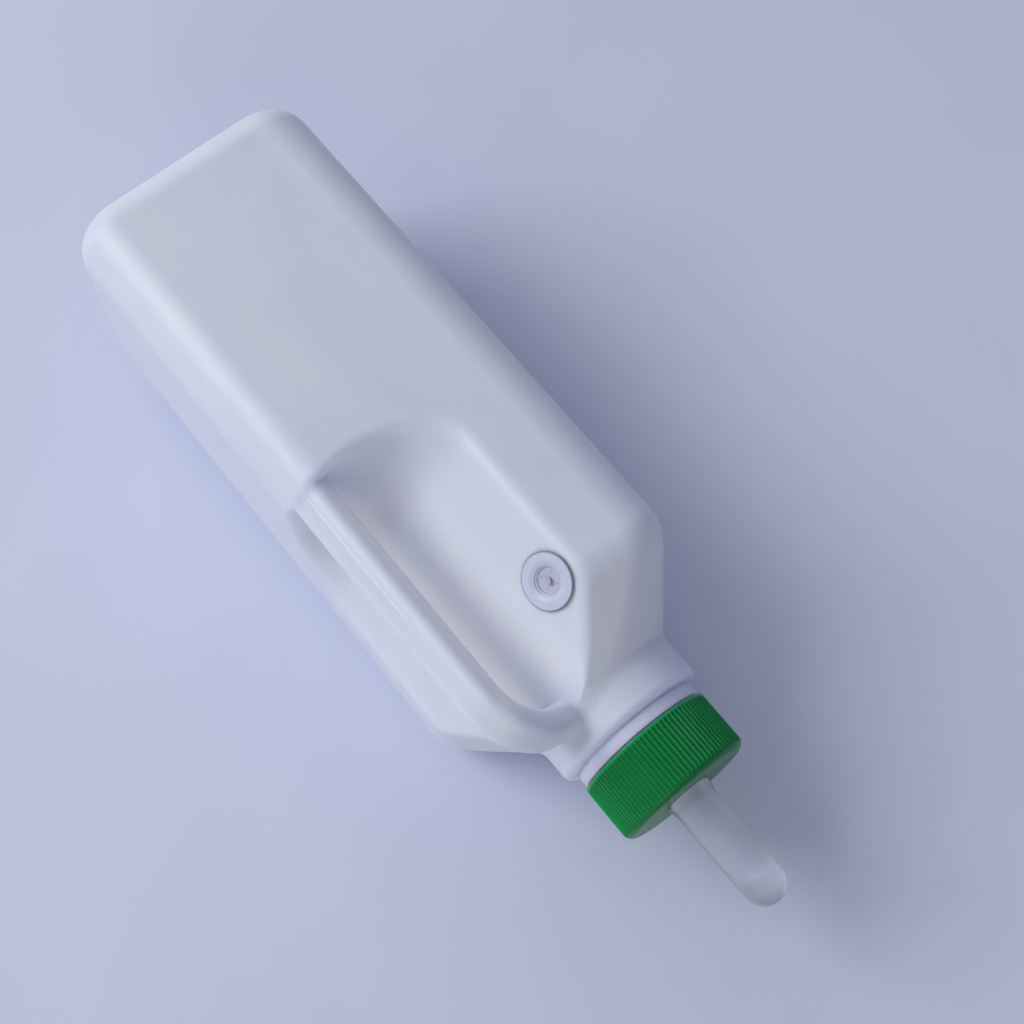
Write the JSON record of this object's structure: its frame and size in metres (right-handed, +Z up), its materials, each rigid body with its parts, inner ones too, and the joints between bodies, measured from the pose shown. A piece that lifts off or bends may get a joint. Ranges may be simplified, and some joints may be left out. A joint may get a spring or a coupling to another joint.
{
  "type": "calf feeding bottle",
  "caption": "Square feeding bottle with a hollow corner handle, a ribbed screw cap, a silicone teat and a one-way air valve, for giving milk to a calf.",
  "frame": {"origin": "centre of the whole object's box, at the bottom: the bottle lies on one flat side", "axes": "+X from the base to the teat, +Z up; the handle is on the corner at -Y and +Z"},
  "size_m": [0.3506, 0.102, 0.102],
  "materials": {
    "bottle": "translucent white blow-moulded polyethylene, satin",
    "cap": "green moulded polypropylene, fine ribs, semi-gloss",
    "teat": "clear frosted silicone",
    "valve": "clear silicone, smooth",
    "flap": "thin milky silicone"
  },
  "bodies": {
    "bottle": {"bottle_body": "bottle", "valve_grommet": "valve"},
    "teat": {"teat": "teat"},
    "cap": {"screw_cap": "cap"},
    "flap": {"valve_flap": "flap"}
  },
  "joints": [
    {"name": "teat_lift", "type": "slide", "parent": "bottle", "child": "teat", "axis": [1, 0, 0], "range_m": [0, 0.01055]},
    {"name": "cap_turn", "type": "hinge", "parent": "teat", "child": "cap", "pos_m": [0.1155, 0.0025, 0.0485], "axis": [1, 0, 0], "range_deg": [0, 900]},
    {"name": "flap_lift", "type": "slide", "parent": "bottle", "child": "flap", "axis": [0, 0.7071, -0.7071], "range_m": [0, 0.0008], "stiffness_N_per_m": 5}
  ],
  "couplings": [
    {"joint": "teat_lift", "follows": "cap_turn", "m_per_rad": 0.00066845}
  ]
}
